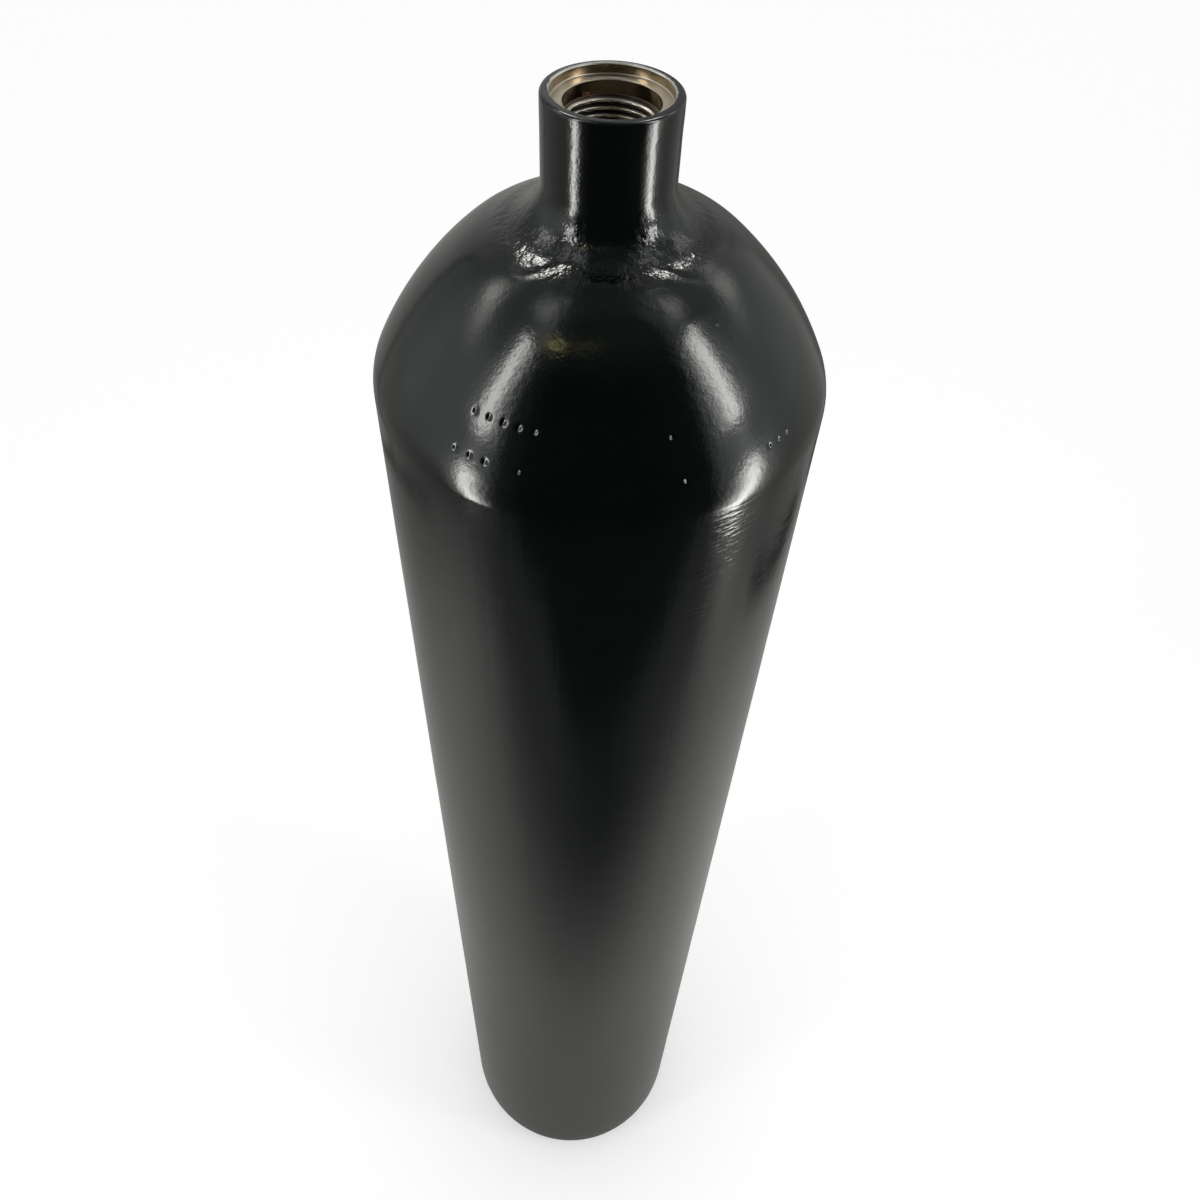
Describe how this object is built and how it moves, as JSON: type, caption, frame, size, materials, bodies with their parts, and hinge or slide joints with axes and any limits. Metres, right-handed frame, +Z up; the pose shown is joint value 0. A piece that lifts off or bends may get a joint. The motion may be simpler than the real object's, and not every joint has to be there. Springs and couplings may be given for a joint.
{
  "type": "scuba tank",
  "caption": "Bare high-pressure steel diving cylinder with a domed shoulder, threaded neck and dished base, painted gloss black, valve removed.",
  "frame": {"origin": "centre of the foot ring, on the surface that the cylinder stands on", "axes": "+Z up along the cylinder's axis, towards the neck; X and Y are alike, because the cylinder is round, and the picture is taken from -Y"},
  "size_m": [0.14, 0.14, 0.7352],
  "materials": {
    "black_paint": "gloss",
    "bare_steel": "machined"
  },
  "bodies": {
    "root": {"cylinder_shell": "black_paint"}
  },
  "joints": []
}
